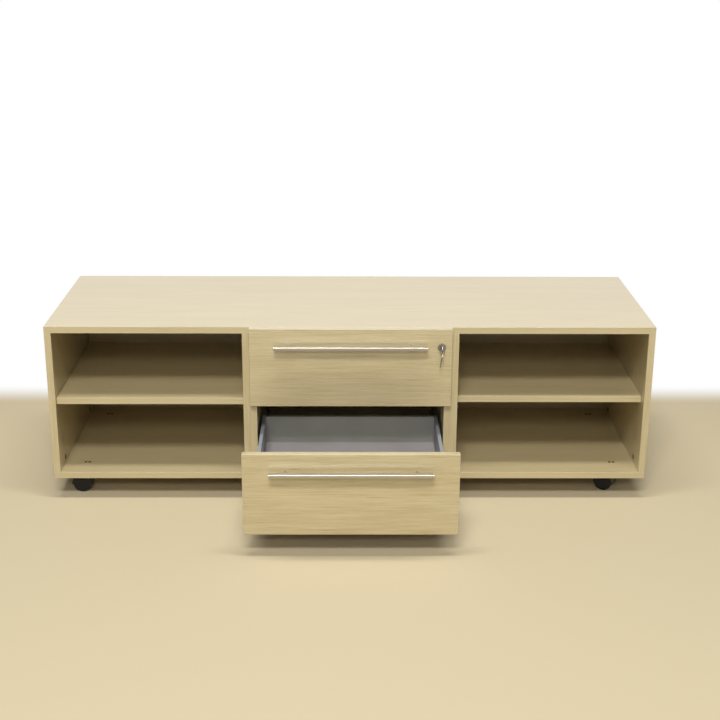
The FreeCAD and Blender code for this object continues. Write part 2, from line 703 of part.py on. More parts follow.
def castor_hood():
    """Return a castor's hood with its boss at the origin, trailing to -X."""
    centre = (-CASTOR_TRAIL, 0, WHEEL_R)
    half_web = HOOD_WEB / 2
    half_hood = half_web + HOOD_GAP + WHEEL_WIDTH
    beyond = half_hood + CUT_THROUGH
    far = 4 * WHEEL_R
    hood_r = WHEEL_R + HOOD_GAP + HOOD_SKIN

    def across(radius, half):
        return rod((centre[0], -half, centre[2]), (centre[0], half, centre[2]), radius)

    shell = across(hood_r, half_hood).cut(across(WHEEL_R + HOOD_GAP, beyond))
    above = block(-far, far, -far, far, WHEEL_R - AXLE_R, far)
    shell = shell.common(above)
    web = across(hood_r, half_web)
    web = web.cut(block(-far, far, -far, far, -far, WHEEL_R - 2.5 * AXLE_R))
    boss_top = CASTOR_HEIGHT - CASTOR_PLATE_THICK - ROLLING_GAP
    boss = rod((0, 0, WHEEL_R + WHEEL_R * 0.8), (0, 0, boss_top), HOOD_BOSS_R)
    boss = boss.cut(across(WHEEL_R + HOOD_GAP, beyond))
    pillar = block(-HOOD_BOSS_R, half_web, -half_web, half_web, WHEEL_R, boss_top - HOOD_SKIN)
    solid = joined([shell, web, pillar, boss])
    stem_low = CASTOR_HEIGHT - CASTOR_PLATE_THICK - STEM_LENGTH - ROLLING_GAP
    stem_hole = rod((0, 0, stem_low), (0, 0, CASTOR_HEIGHT), STEM_R + RUNNING_GAP)
    axle_hole = across(AXLE_R + HOLE_GAP, beyond)
    return solid.cut(Part.makeCompound([stem_hole, axle_hole]))


def castor_axle():
    """Return the steel axle that the wheels of a castor turn on."""
    half = HOOD_WEB / 2 + HOOD_GAP + WHEEL_WIDTH - AXLE_SHORT
    return rod((-CASTOR_TRAIL, -half, WHEEL_R), (-CASTOR_TRAIL, half, WHEEL_R), AXLE_R)


def castor_wheels():
    """Return the two wheels of a castor."""
    wheels = []
    for sign in (-1, 1):
        start = sign * (HOOD_WEB / 2 + HOOD_GAP)
        end = start + sign * WHEEL_WIDTH
        wheel = rod((-CASTOR_TRAIL, start, WHEEL_R), (-CASTOR_TRAIL, end, WHEEL_R), WHEEL_R)
        rims = [e for e in wheel.Edges if len(e.Vertexes) == 1]
        wheel = wheel.makeFillet(WHEEL_ROUND, rims)
        over = sign * CUT_THROUGH
        bore = rod((-CASTOR_TRAIL, start - over, WHEEL_R), (-CASTOR_TRAIL, end + over, WHEEL_R),
                   AXLE_R + RUNNING_GAP)
        wheels.append(wheel.cut(bore))
    return wheels


def castor_plate(x, y):
    """Return a castor's plate and stem, tapped for the screws from above."""
    half = CASTOR_PLATE / 2
    plate = block(x - half, x + half, y - half, y + half, BASE_Z - CASTOR_PLATE_THICK, BASE_Z)
    corners = [e for e in plate.Edges if e.BoundBox.ZLength > CASTOR_PLATE_THICK / 2]
    plate = plate.makeFillet(half / 4, corners)
    top = BASE_Z - CASTOR_PLATE_THICK
    stem = rod((x, y, top), (x, y, top - STEM_LENGTH), STEM_R)
    holes = []
    for sign in (-1, 1):
        at = x + sign * FLOOR_SCREW_PITCH / 2
        holes.append(rod((at, y, top), (at, y, BASE_Z + CUT_THROUGH), SCREW_R + HOLE_GAP))
    return joined([plate, stem]).cut(Part.makeCompound(holes))


def make_castors():
    """Make the castors, each swivelled its own way."""
    places = castor_places()
    export("castor_plates", [castor_plate(x, y) for x, y in places.values()])
    for name, (x, y) in places.items():
        turn = CASTOR_TRAIL_DIRECTION[name] - 180.0
        for suffix, solids in (("hood", [castor_hood(), castor_axle()]),
                               ("wheels", castor_wheels())):
            for solid in solids:
                solid.rotate(V(0, 0, 0), V(0, 0, 1), turn)
                solid.translate(V(x, y, 0))
            export("castor_" + name + "_" + suffix, solids)


def main():
    """Make every node of the part."""
    os.makedirs("parts", exist_ok=True)
    make_boards()
    make_fixings()
    make_runners()
    for drawer in front_tops():
        make_drawer(drawer)
    make_lock()
    make_castors()


main()
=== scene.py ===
"""Looks of the sideboard: finishes for its solids, and fine pieces built around them.

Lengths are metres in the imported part's frame: +X to the viewer's right, -Y to the front,
+Z up. The places of new pieces come from the frame's nodes and joints.
"""

import json
import logging
import math
from dataclasses import dataclass
from enum import Enum
from typing import Any, Iterable

import bmesh
import bpy
from mathutils import Matrix, Vector


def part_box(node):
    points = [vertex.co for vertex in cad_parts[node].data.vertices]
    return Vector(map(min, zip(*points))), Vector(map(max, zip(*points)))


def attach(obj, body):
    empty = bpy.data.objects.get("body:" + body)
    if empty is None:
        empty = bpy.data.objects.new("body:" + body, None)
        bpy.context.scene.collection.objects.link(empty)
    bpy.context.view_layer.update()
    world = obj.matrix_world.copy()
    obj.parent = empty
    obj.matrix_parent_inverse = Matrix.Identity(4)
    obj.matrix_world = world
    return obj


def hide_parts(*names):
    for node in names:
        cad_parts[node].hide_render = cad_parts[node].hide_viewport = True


logging.basicConfig(level=logging.INFO, format="%(message)s")
LOG = logging.getLogger("sideboard")
MM = 0.001
FINE_ARRIS = 0.12 * MM

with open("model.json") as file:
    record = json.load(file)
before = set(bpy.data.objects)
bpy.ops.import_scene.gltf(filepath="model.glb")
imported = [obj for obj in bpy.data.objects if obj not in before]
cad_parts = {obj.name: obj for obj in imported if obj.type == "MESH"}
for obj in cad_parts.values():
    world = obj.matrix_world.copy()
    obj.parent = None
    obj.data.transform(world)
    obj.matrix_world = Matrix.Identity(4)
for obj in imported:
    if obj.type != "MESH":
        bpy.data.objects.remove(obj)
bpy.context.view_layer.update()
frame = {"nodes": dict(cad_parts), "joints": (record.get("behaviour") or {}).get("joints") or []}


class Grain(Enum):
    """The way a board's printed grain runs."""

    ACROSS = "x"
    UPRIGHT = "z"


def linear(hex_colour: str) -> tuple[float, float, float, float]:
    """Turn an sRGB hex colour into linear values.

    Args:
        hex_colour: six hex digits, with or without a leading hash.

    Returns:
        Red, green, blue and an alpha of one.
    """
    digits = hex_colour.lstrip("#")
    values = [int(digits[i:i + 2], 16) / 255 for i in (0, 2, 4)]
    curve = [v / 12.92 if v <= 0.04045 else ((v + 0.055) / 1.055) ** 2.4 for v in values]
    return (curve[0], curve[1], curve[2], 1.0)


def add(tree: bpy.types.NodeTree, kind: str, settings: dict[Any, Any] | None = None,
        links: dict[Any, Any] | None = None) -> bpy.types.Node:
    """Add one shader node.

    Args:
        tree: the material's or the world's node tree.
        kind: the node's type name.
        settings: values for inputs, by name or number, or for the node's own properties.
        links: the output that feeds each input, by the input's name or number.

    Returns:
        The new node.
    """
    node = tree.nodes.new(kind)
    for key, value in (settings or {}).items():
        if isinstance(key, int) or key in node.inputs:
            node.inputs[key].default_value = value
        else:
            setattr(node, key, value)
    for key, output in (links or {}).items():
        tree.links.new(output, node.inputs[key])
    return node


def ramp(tree: bpy.types.NodeTree, source: Any, stops: list[tuple[float, str]]) -> Any:
    """Add a colour ramp with its stops.

    Args:
        tree: the node tree.
        source: the output that drives the ramp.
        stops: each stop's place and hex colour, in order.

    Returns:
        The ramp's colour output.
    """
    node = add(tree, "ShaderNodeValToRGB", links={"Fac": source})
    elements = node.color_ramp.elements
    while len(elements) < len(stops):
        elements.new(0.5)
    for element, (place, colour) in zip(elements, stops):
        element.position = place
        element.color = linear(colour)
    return node.outputs["Color"]


def blank(name: str) -> tuple[bpy.types.Material, bpy.types.NodeTree, bpy.types.Node]:
    """Start a material.

    Args:
        name: the finish's name.

    Returns:
        The material, its node tree and its surface shader.
    """
    material = bpy.data.materials.new(name)
    material.use_nodes = True
    tree = material.node_tree
    return material, tree, tree.nodes["Principled BSDF"]


def stretched(tree: bpy.types.NodeTree, per_metre: tuple[float, float, float]) -> Any:
    """Return object coordinates scaled to so many repeats per metre on each axis."""
    coordinate = add(tree, "ShaderNodeTexCoord")
    mapping = add(tree, "ShaderNodeMapping", {"Scale": per_metre},
                  {"Vector": coordinate.outputs["Object"]})
    return mapping.outputs["Vector"]


@dataclass(frozen=True)
class OakMelamine:
    """Particle board faced with a printed light oak paper, pressed with a fine open grain.

    The eye sees pale straw wood with fine darker streaks a few millimetres apart, broad
    slow changes of tone, and a satin sheen that whitens at low angles.
    """

    name: str
    grain: Grain
    light: str = "#c8b992"
    middle: str = "#baaa81"
    dark: str = "#a39167"
    streak_mm: float = 2.8
    streak_length_mm: float = 120.0
    band_mm: float = 30.0
    contrast: float = 1.0
    roughness: float = 0.42
    sheen_coat: float = 1.0
    coat_roughness: float = 0.32
    coat_ior: float = 1.75
    board_ior: float = 1.5
    fibre_share: float = 0.55
    band_share: float = 0.25
    pore_share: float = 0.20
    lift: float = 0.10
    middle_tone: float = 0.58
    tone_spread: float = 0.2
    relief_strength: float = 0.25
    relief_depth: float = 0.0002

    def scale(self, across_mm: float, along_mm: float) -> tuple[float, float, float]:
        """Return repeats per metre on each axis for a pattern of this grain."""
        across = 1000 / across_mm
        along = 1000 / along_mm
        axes = {Grain.ACROSS: 0, Grain.UPRIGHT: 2}
        values = [across, across, across]
        values[axes[self.grain]] = along
        return (values[0], values[1], values[2])

    def make(self) -> bpy.types.Material:
        """Build the finish's nodes and return its material."""
        material, tree, shader = blank(self.name)
        fibre_at = stretched(tree, self.scale(self.streak_mm, self.streak_length_mm))
        fibre = add(tree, "ShaderNodeTexNoise",
                    {"Scale": 1.0, "Detail": 3.0, "Roughness": 0.6, "Distortion": 0.25},
                    {"Vector": fibre_at})
        band_at = stretched(tree, self.scale(self.band_mm, 12 * self.band_mm))
        band = add(tree, "ShaderNodeTexNoise",
                   {"Scale": 1.0, "Detail": 2.0, "Roughness": 0.5, "Distortion": 0.8},
                   {"Vector": band_at})
        pore_at = stretched(tree, self.scale(self.streak_mm * 0.45, self.streak_length_mm * 0.2))
        pore = add(tree, "ShaderNodeTexNoise",
                   {"Scale": 1.0, "Detail": 1.0, "Roughness": 0.5}, {"Vector": pore_at})
        mixed = add(tree, "ShaderNodeMath",
                    {"operation": "MULTIPLY_ADD", 1: self.fibre_share, 2: self.lift},
                    {0: fibre.outputs["Fac"]})
        mixed = add(tree, "ShaderNodeMath", {"operation": "MULTIPLY_ADD", 1: self.band_share},
                    {0: band.outputs["Fac"], 2: mixed.outputs["Value"]})
        mixed = add(tree, "ShaderNodeMath", {"operation": "MULTIPLY_ADD", 1: self.pore_share},
                    {0: pore.outputs["Fac"], 2: mixed.outputs["Value"]})
        half = self.tone_spread / self.contrast
        wood = ramp(tree, mixed.outputs["Value"],
                    [(self.middle_tone - half, self.dark), (self.middle_tone, self.middle),
                     (self.middle_tone + half, self.light)])
        tree.links.new(wood, shader.inputs["Base Color"])
        shader.inputs["Roughness"].default_value = self.roughness
        shader.inputs["IOR"].default_value = self.board_ior
        shader.inputs["Coat Weight"].default_value = self.sheen_coat
        shader.inputs["Coat Roughness"].default_value = self.coat_roughness
        shader.inputs["Coat IOR"].default_value = self.coat_ior
        relief = add(tree, "ShaderNodeBump",
                     {"Strength": self.relief_strength, "Distance": self.relief_depth},
                     {"Height": mixed.outputs["Value"]})
        tree.links.new(relief.outputs["Normal"], shader.inputs["Normal"])
        return material


@dataclass(frozen=True)
class BrushedMetal:
    """Metal drawn or brushed in one direction, then left bare or nickel plated.

    The eye sees a bright satin streak with fine scratches along the piece.
    """

    name: str
    colour: str
    roughness: float
    scratch_mm: tuple[float, float, float] = (60.0, 0.6, 0.6)
    depth: float = 0.000002
    smoothest: float = 0.8
    roughest: float = 1.25

    def make(self) -> bpy.types.Material:
        """Build the finish's nodes and return its material."""
        material, tree, shader = blank(self.name)
        per_metre = tuple(1000 / size for size in self.scratch_mm)
        scratch = add(tree, "ShaderNodeTexNoise", {"Scale": 1.0, "Detail": 2.0, "Roughness": 0.6},
                      {"Vector": stretched(tree, per_metre)})
        spread = add(tree, "ShaderNodeMapRange",
                     {"To Min": self.roughness * self.smoothest,
                      "To Max": self.roughness * self.roughest},
                     {"Value": scratch.outputs["Fac"]})
        tree.links.new(spread.outputs["Result"], shader.inputs["Roughness"])
        relief = add(tree, "ShaderNodeBump", {"Strength": 0.25, "Distance": self.depth},
                     {"Height": scratch.outputs["Fac"]})
        tree.links.new(relief.outputs["Normal"], shader.inputs["Normal"])
        shader.inputs["Base Color"].default_value = linear(self.colour)
        shader.inputs["Metallic"].default_value = 1.0
        return material


@dataclass(frozen=True)
class PowderCoat:
    """Folded sheet steel with a baked grey powder coat: matt, with a fine orange peel."""

    name: str
    colour: str
    mottle: str
    roughness: float = 0.48
    peel_mm: float = 1.6
    patches_per_metre: float = 9.0

    def make(self) -> bpy.types.Material:
        """Build the finish's nodes and return its material."""
        material, tree, shader = blank(self.name)
        repeat = 1000 / self.peel_mm
        peel = add(tree, "ShaderNodeTexNoise", {"Scale": 1.0, "Detail": 2.0},
                   {"Vector": stretched(tree, (repeat,) * 3)})
        patch = add(tree, "ShaderNodeTexNoise", {"Scale": 1.0, "Detail": 3.0},
                    {"Vector": stretched(tree, (self.patches_per_metre,) * 3)})
        tone = ramp(tree, patch.outputs["Fac"], [(0.35, self.mottle), (0.65, self.colour)])
        tree.links.new(tone, shader.inputs["Base Color"])
        relief = add(tree, "ShaderNodeBump", {"Strength": 0.2, "Distance": 0.00004},
                     {"Height": peel.outputs["Fac"]})
        tree.links.new(relief.outputs["Normal"], shader.inputs["Normal"])
        shader.inputs["Roughness"].default_value = self.roughness
        return material


@dataclass(frozen=True)
class MouldedPlastic:
    """Injection-moulded plastic with the fine spark texture of its tool."""

    name: str
    colour: str
    worn: str
    roughness: float = 0.45
    texture_mm: float = 0.8
    ior: float = 1.5
    rubs_per_metre: float = 60.0
    smoothest: float = 0.85
    roughest: float = 1.15

    def make(self) -> bpy.types.Material:
        """Build the finish's nodes and return its material."""
        material, tree, shader = blank(self.name)
        repeat = 1000 / self.texture_mm
        spark = add(tree, "ShaderNodeTexNoise", {"Scale": 1.0, "Detail": 2.0},
                    {"Vector": stretched(tree, (repeat,) * 3)})
        rub = add(tree, "ShaderNodeTexNoise", {"Scale": 1.0, "Detail": 4.0},
                  {"Vector": stretched(tree, (self.rubs_per_metre,) * 3)})
        tone = ramp(tree, rub.outputs["Fac"], [(0.4, self.colour), (0.75, self.worn)])
        tree.links.new(tone, shader.inputs["Base Color"])
        spread = add(tree, "ShaderNodeMapRange",
                     {"To Min": self.roughness * self.smoothest,
                      "To Max": self.roughness * self.roughest},
                     {"Value": rub.outputs["Fac"]})
        tree.links.new(spread.outputs["Result"], shader.inputs["Roughness"])
        relief = add(tree, "ShaderNodeBump", {"Strength": 0.2, "Distance": 0.00003},
                     {"Height": spark.outputs["Fac"]})
        tree.links.new(relief.outputs["Normal"], shader.inputs["Normal"])
        shader.inputs["IOR"].default_value = self.ior
        return material


class Finishes:
    """Every finish of the sideboard, made once."""

    def __init__(self) -> None:
        """Make the finishes."""
        self.oak_front = OakMelamine("oak_melamine_fronts", Grain.ACROSS, contrast=1.15).make()
        self.oak_level = OakMelamine("oak_melamine_level", Grain.ACROSS, contrast=0.6,
                                     streak_length_mm=180.0).make()
        self.oak_upright = OakMelamine("oak_melamine_upright", Grain.UPRIGHT,
                                       contrast=0.8).make()
        self.handle_steel = BrushedMetal("satin_nickel_handle", "#bdb7aa", 0.36).make()
        self.key_steel = BrushedMetal("nickel_key_steel", "#9b978c", 0.42,
                                      (1.0, 8.0, 1.0)).make()
        self.zinc = BrushedMetal("zinc_plate", "#b4b3ad", 0.38, (2.0, 2.0, 2.0)).make()
        self.grey_coat = PowderCoat("grey_powder_coat", "#8d9093", "#838689").make()
        # The drawer floor and back are one grey steel in two copies: the floor's copy is lighter
        # (painted light), the back's copy darker (painted shade).
        self.grey_floor_lit_copy = PowderCoat("grey_foil_floor_painted_light", "#bcb6b4", "#b2acaa", 0.5, 1.0).make()
        self.grey_back_shaded_copy = PowderCoat("grey_foil_back_painted_shade", "#97978f", "#8e8e86", 0.5, 1.0).make()
        self.nylon = MouldedPlastic("white_nylon", "#dcdad2", "#c9c6bb", 0.4).make()
        self.black = MouldedPlastic("black_polyamide", "#0a0a0a", "#141312", 0.5).make()
        self.tread = MouldedPlastic("black_wheel", "#090909", "#121110", 0.6).make()
        self.brown = MouldedPlastic("brown_fitting", "#2a2018", "#3b2e22", 0.5).make()


def dress(nodes: Iterable[str], material: bpy.types.Material) -> None:
    """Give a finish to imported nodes.

    Args:
        nodes: the nodes' names.
        material: the finish.
    """
    for name in nodes:
        for slot in frame["nodes"][name].material_slots:
            slot.material = material


def only(piece: bpy.types.Object) -> bpy.types.Object:
    """Select one object alone and make it active."""
    if bpy.context.object and bpy.context.object.mode != "OBJECT":
        bpy.ops.object.mode_set(mode="OBJECT")
    bpy.ops.object.select_all(action="DESELECT")
    piece.select_set(True)
    bpy.context.view_layer.objects.active = piece
    return piece


def round_bar(name: str, radius: float, length: float, sides: int = 48) -> bpy.types.Object:
    """Add a round bar standing on the origin along +Z."""
    bpy.ops.object.select_all(action="DESELECT")
    bpy.ops.mesh.primitive_cylinder_add(vertices=sides, radius=radius, depth=length,
                                        location=(0, 0, length / 2))
    piece = bpy.context.object
    piece.name = name
    bpy.ops.object.transform_apply(location=True, rotation=True, scale=True)
    return piece


def slab(name: str, low: tuple[float, float, float],
         high: tuple[float, float, float]) -> bpy.types.Object:
    """Add a box between two corners."""
    centre = [(a + b) / 2 for a, b in zip(low, high)]
    size = [b - a for a, b in zip(low, high)]
    bpy.ops.object.select_all(action="DESELECT")
    bpy.ops.mesh.primitive_cube_add(size=1.0, location=centre)
    piece = bpy.context.object
    piece.name = name
    piece.scale = size
    bpy.ops.object.transform_apply(location=True, rotation=True, scale=True)
    return piece


def pick_faces(piece: bpy.types.Object, direction: Vector, beyond: float) -> None:
    """Enter edit mode with the faces selected that face a direction at its far side.

    Args:
        piece: the object.
        direction: the unit vector that the faces look along.
        beyond: how far along the direction the faces' centres must lie.
    """
    only(piece)
    bpy.ops.object.mode_set(mode="EDIT")
    bpy.ops.mesh.select_mode(type="FACE")
    bpy.ops.mesh.select_all(action="DESELECT")
    mesh = bmesh.from_edit_mesh(piece.data)
    for face in mesh.faces:
        centre = face.calc_center_median()
        face.select_set(face.normal.dot(direction) > 0.9 and centre.dot(direction) > beyond)
    bmesh.update_edit_mesh(piece.data)


def step_face(inset: float, rise: float) -> None:
    """Inset the selected faces, then move a new ring of wall out or in along Z."""
    bpy.ops.mesh.inset(thickness=inset, depth=0.0)
    bpy.ops.mesh.extrude_region_move(TRANSFORM_OT_translate={"value": (0, 0, rise)})


def carve(piece: bpy.types.Object, tool: bpy.types.Object,
          operation: str = "DIFFERENCE") -> bpy.types.Object:
    """Cut a tool out of a piece, or join it on, and delete the tool."""
    only(piece)
    cut = piece.modifiers.new("cut", "BOOLEAN")
    cut.operation = operation
    cut.solver = "EXACT"
    cut.object = tool
    bpy.ops.object.modifier_apply(modifier="cut")
    bpy.data.objects.remove(tool, do_unlink=True)
    return piece


def softened(piece: bpy.types.Object, width: float, segments: int = 2,
             angle: float = 35.0) -> bpy.types.Object:
    """Bevel a piece's sharp edges and smooth its shading."""
    only(piece)
    bevel = piece.modifiers.new("bevel", "BEVEL")
    bevel.width = width
    bevel.segments = segments
    bevel.limit_method = "ANGLE"
    bevel.angle_limit = math.radians(angle)
    bpy.ops.object.modifier_apply(modifier="bevel")
    bpy.ops.object.shade_smooth_by_angle(angle=math.radians(angle))
    return piece


def placed(piece: bpy.types.Object, matrix: Matrix) -> bpy.types.Object:
    """Move a piece's mesh by a matrix, with the object left at the origin."""
    only(piece)
    piece.matrix_world = matrix
    bpy.ops.object.transform_apply(location=True, rotation=True, scale=True)
    return piece


def copied(piece: bpy.types.Object, name: str) -> bpy.types.Object:
    """Copy a piece with its own mesh."""
    twin = piece.copy()
    twin.data = piece.data.copy()
    twin.name = name
    bpy.context.collection.objects.link(twin)
    return twin


def joined(pieces: list[bpy.types.Object], name: str) -> bpy.types.Object:
    """Join pieces into one object with a name."""
    only(pieces[0])
    for piece in pieces[1:]:
        piece.select_set(True)
    bpy.ops.object.join()
    pieces[0].name = name
    pieces[0].data.name = name
    return pieces[0]


def facing(point: Vector, direction: Vector) -> Matrix:
    """Return the matrix that stands a +Z piece on a point, looking along a direction."""
    turn = direction.to_track_quat("Z", "Y").to_matrix().to_4x4()
    return Matrix.Translation(point) @ turn


def solids_of(node: str) -> list[tuple[Vector, Vector]]:
    """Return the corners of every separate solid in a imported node.

    Args:
        node: the node's name.

    Returns:
        The low and high corner of each solid.
    """
    mesh = bmesh.new()
    mesh.from_mesh(frame["nodes"][node].data)
    bmesh.ops.remove_doubles(mesh, verts=mesh.verts, dist=0.00001)
    left = set(mesh.verts)
    boxes = []
    while left:
        stack = [left.pop()]
        found = []
        while stack:
            vertex = stack.pop()
            found.append(vertex.co.copy())
            for edge in vertex.link_edges:
                other = edge.other_vert(vertex)
                if other in left:
                    left.discard(other)
                    stack.append(other)
        low = Vector(min(p[i] for p in found) for i in range(3))
        high = Vector(max(p[i] for p in found) for i in range(3))
        boxes.append((low, high))
    mesh.free()
    return sorted(boxes, key=lambda box: tuple(round(v, 5) for v in (*box[0], *box[1])))


def give(piece: bpy.types.Object, body: str, slot: str, material: bpy.types.Material,
         *nodes: str) -> bpy.types.Object:
    """Finish a piece: its material, its body and the nodes that it stands for."""
    piece.data.materials.clear()
    piece.data.materials.append(material)
    for face in piece.data.polygons:
        face.material_index = 0
    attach(piece, body)
    if nodes:
        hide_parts(*nodes)
    LOG.info("%s rides on %s: %d faces", piece.name, body, len(piece.data.polygons))
    return piece


@dataclass
class Screws:
    """Cross-recessed screws with softly domed heads."""

    head_radius: float = 3.2 * MM
    shank_radius: float = 1.6 * MM
    recess_width: float = 0.9 * MM
    recess_reach: float = 2.1 * MM
    recess_depth: float = 0.5 * MM
    tip: float = 1.2 * MM
    tip_taper: float = 0.45
    dome: float = 1.25
    dome_inset: float = 0.3
    overcut: float = 0.25

    def model(self, head: float, length: float) -> bpy.types.Object:
        """Model one screw, its head's top at the origin and its shank down along -Z.

        Args:
            head: the head's height.
            length: the whole screw's length.

        Returns:
            The screw.
        """
        screw = round_bar("screw", self.head_radius, head, 40)
        pick_faces(screw, Vector((0, 0, 1)), head / 2)
        bpy.ops.mesh.inset(thickness=self.head_radius * self.dome_inset,
                           depth=head * (self.dome - 1))
        bpy.ops.object.mode_set(mode="OBJECT")
        bottom = head * self.dome - self.recess_depth
        top = head * (self.dome + self.overcut)
        half = self.recess_width / 2
        for along, across in ((self.recess_reach, half), (half, self.recess_reach)):
            carve(screw, slab("slot", (-along, -across, bottom), (along, across, top)))
        shank = round_bar("shank", self.shank_radius, length - head, 24)
        pick_faces(shank, Vector((0, 0, 1)), 0.0)
        bpy.ops.mesh.extrude_region_move(TRANSFORM_OT_translate={"value": (0, 0, self.tip)})
        bpy.ops.transform.resize(value=(self.tip_taper, self.tip_taper, 1.0))
        bpy.ops.object.mode_set(mode="OBJECT")
        placed(shank, Matrix.Rotation(math.pi, 4, "X"))
        softened(screw, FINE_ARRIS, 1)
        screw = joined([screw, shank], "screw")
        return placed(screw, Matrix.Translation((0, 0, -head * self.dome)))

    def fit(self, node: str, body: str, slot: str, material: bpy.types.Material,
            head: float, outward: Vector | None = None) -> None:
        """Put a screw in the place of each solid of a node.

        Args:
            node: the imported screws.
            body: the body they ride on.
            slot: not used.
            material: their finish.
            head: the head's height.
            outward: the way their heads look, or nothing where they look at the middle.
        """
        boxes = solids_of(node)
        pieces = []
        patterns: dict[float, bpy.types.Object] = {}
        for low, high in boxes:
            middle = (low + high) / 2
            way = outward or Vector((-1 if middle.x > 0 else 1, 0, 0))
            length = abs((high - low).dot(way))
            key = round(length, 4)
            if key not in patterns:
                patterns[key] = self.model(head / self.dome, length - self.tip)
            screw = copied(patterns[key], node + "_copy")
            pieces.append(placed(screw, facing(middle + way * length / 2, way)))
        for pattern in patterns.values():
            bpy.data.objects.remove(pattern, do_unlink=True)
        give(joined(pieces, node + "_cross_heads"), body, slot, material, node)


@dataclass
class Connectors:
    """The faces of the dark cam discs let into the side panels."""

    radius: float = 7.3 * MM
    thickness: float = 0.28 * MM
    rim: float = 1.2 * MM
    slot_reach: float = 4.2 * MM
    slot_width: float = 1.3 * MM
    rim_sink: float = 0.35
    slot_floor: float = 0.2
    first_turn: float = 20.0
    turn_step: float = 35.0
    roundness: float = 0.5 * MM

    def model(self) -> bpy.types.Object:
        """Model one disc face standing on the origin, with its rim and cross slot."""
        face = round_bar("cam_face", self.radius, self.thickness)
        pick_faces(face, Vector((0, 0, 1)), self.thickness / 2)
        step_face(self.rim, -self.thickness * self.rim_sink)
        bpy.ops.object.mode_set(mode="OBJECT")
        for turn in (0.0, math.pi / 2):
            low = (-self.slot_reach, -self.slot_width / 2, self.thickness * self.slot_floor)
            high = (self.slot_reach, self.slot_width / 2, self.thickness * 2)
            tool = placed(slab("slot", low, high), Matrix.Rotation(turn, 4, "Z"))
            carve(face, tool)
        return face

    def build(self, finishes: Finishes) -> None:
        """Put a face on every disc of the cam connectors."""
        pattern = self.model()
        low_all, high_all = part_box("top_panel")
        unit = (high_all[0] - low_all[0]) / 3
        pieces = []
        for low, high in solids_of("cam_connectors"):
            size = high - low
            if abs(size.y - size.z) > self.roundness:
                continue
            middle = (low + high) / 2
            index = int((middle.x - low_all[0]) // unit)
            centre = low_all[0] + (index + 0.5) * unit
            way = Vector((1 if centre > middle.x else -1, 0, 0))
            point = Vector((high.x if way.x > 0 else low.x, middle.y, middle.z))
            degrees = self.first_turn + self.turn_step * len(pieces)
            turn = Matrix.Rotation(math.radians(degrees), 4, "Z")
            face = copied(pattern, "cam_face_copy")
            pieces.append(placed(face, facing(point, way) @ turn))
        bpy.data.objects.remove(pattern, do_unlink=True)
        give(joined(pieces, "cam_connector_faces"), "carcass", "brown_fitting", finishes.brown)


@dataclass
class Keys:
    """The key in the lock and its spare, each with a rimmed bow and a cut blade."""

    rim: float = 1.4 * MM
    sink: float = 0.35 * MM
    cuts: tuple[float, ...] = (0.30, 0.45, 0.62, 0.78)
    cut_depths: tuple[float, ...] = (1.6 * MM, 2.4 * MM, 1.3 * MM, 2.0 * MM)
    hole: float = 3.0 * MM
    hole_inset: float = 5.0 * MM
    spare_tilt: float = math.radians(8.0)
    blade_overlap: float = 2.0 * MM
    grooves: tuple[tuple[float, float, float, float], ...] = (
        (0.08, 0.24, 0.22, 1.0), (-0.16, 0.0, -1.0, -0.22))

    def model(self, thick: float, bow_radius: float, blade: float,
              height: float) -> bpy.types.Object:
        """Model a key flat on Z with its bow's outer end at the origin and its blade to +X.

        Args:
            thick: the key's thickness.
            bow_radius: the bow's radius.
            blade: the blade's length beyond the bow.
            height: the blade's height.

        Returns:
            The key.
        """
        bow = round_bar("key", bow_radius, thick, 64)
        for way in (1, -1):
            pick_faces(bow, Vector((0, 0, way)), 0.0 if way > 0 else -thick / 2)
            step_face(self.rim, -way * self.sink)
            bpy.ops.object.mode_set(mode="OBJECT")
        placed(bow, Matrix.Translation((bow_radius, 0, -thick / 2)))
        start = 2 * bow_radius - self.blade_overlap
        end = 2 * bow_radius + blade
        bar = slab("blade", (start, -height / 2, -thick / 2), (end, height / 2, thick / 2))
        for place, depth in zip(self.cuts, self.cut_depths):
            x = start + (end - start) * place
            size = depth * math.sqrt(2)
            tool = slab("notch", (-size / 2, -size / 2, -thick), (size / 2, size / 2, thick))
            turn = Matrix.Rotation(math.pi / 4, 4, "Z")
            carve(bar, placed(tool, Matrix.Translation((x, -height / 2, 0)) @ turn))
        for low_y, high_y, low_z, high_z in self.grooves:
            groove = slab("groove", (start, height * low_y, thick * low_z),
                          (end + thick, height * high_y, thick * high_z))
            carve(bar, groove)
        key = carve(bow, bar, "UNION")
        eye = placed(round_bar("eye", self.hole, 4 * thick, 40),
                     Matrix.Translation((self.hole_inset, 0, -2 * thick)))
        carve(key, eye)
        return softened(key, FINE_ARRIS, 1)

    def build(self, finishes: Finishes) -> None:
        """Stand a key in the place of each packed key."""
        low, high = (Vector(corner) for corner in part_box("lock_key"))
        thick, length, width = high - low
        key = self.model(thick, width / 2, length - width, width * 0.35)
        spare = copied(key, "spare_key_cut")
        middle = (low + high) / 2
        axes = Matrix(((0, 0, 1), (1, 0, 0), (0, 1, 0))).to_4x4()
        placed(key, Matrix.Translation((middle.x, low.y, middle.z)) @ axes)
        key.name = "lock_key_cut"
        give(key, "lock_core", "steel_key", finishes.key_steel, "lock_key")
        low, high = (Vector(corner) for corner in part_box("spare_key"))
        radius = width / 2
        tilt = self.spare_tilt
        bow_z = high.z - radius * math.cos(tilt) - thick / 2 * math.sin(tilt)
        eye_z = bow_z + (radius - self.hole_inset) * math.cos(tilt)
        eye = Vector((middle.x, (low.y + high.y) / 2, eye_z))
        axes = Matrix(((0, 0, -1), (0, -1, 0), (-1, 0, 0))).to_4x4()
        hang = Matrix.Translation(eye) @ Matrix.Rotation(tilt, 4, "Y") @ axes
        placed(spare, hang @ Matrix.Translation((-self.hole_inset, 0, 0)))
        give(spare, "ring_and_spare_key", "steel_key", finishes.key_steel, "spare_key")


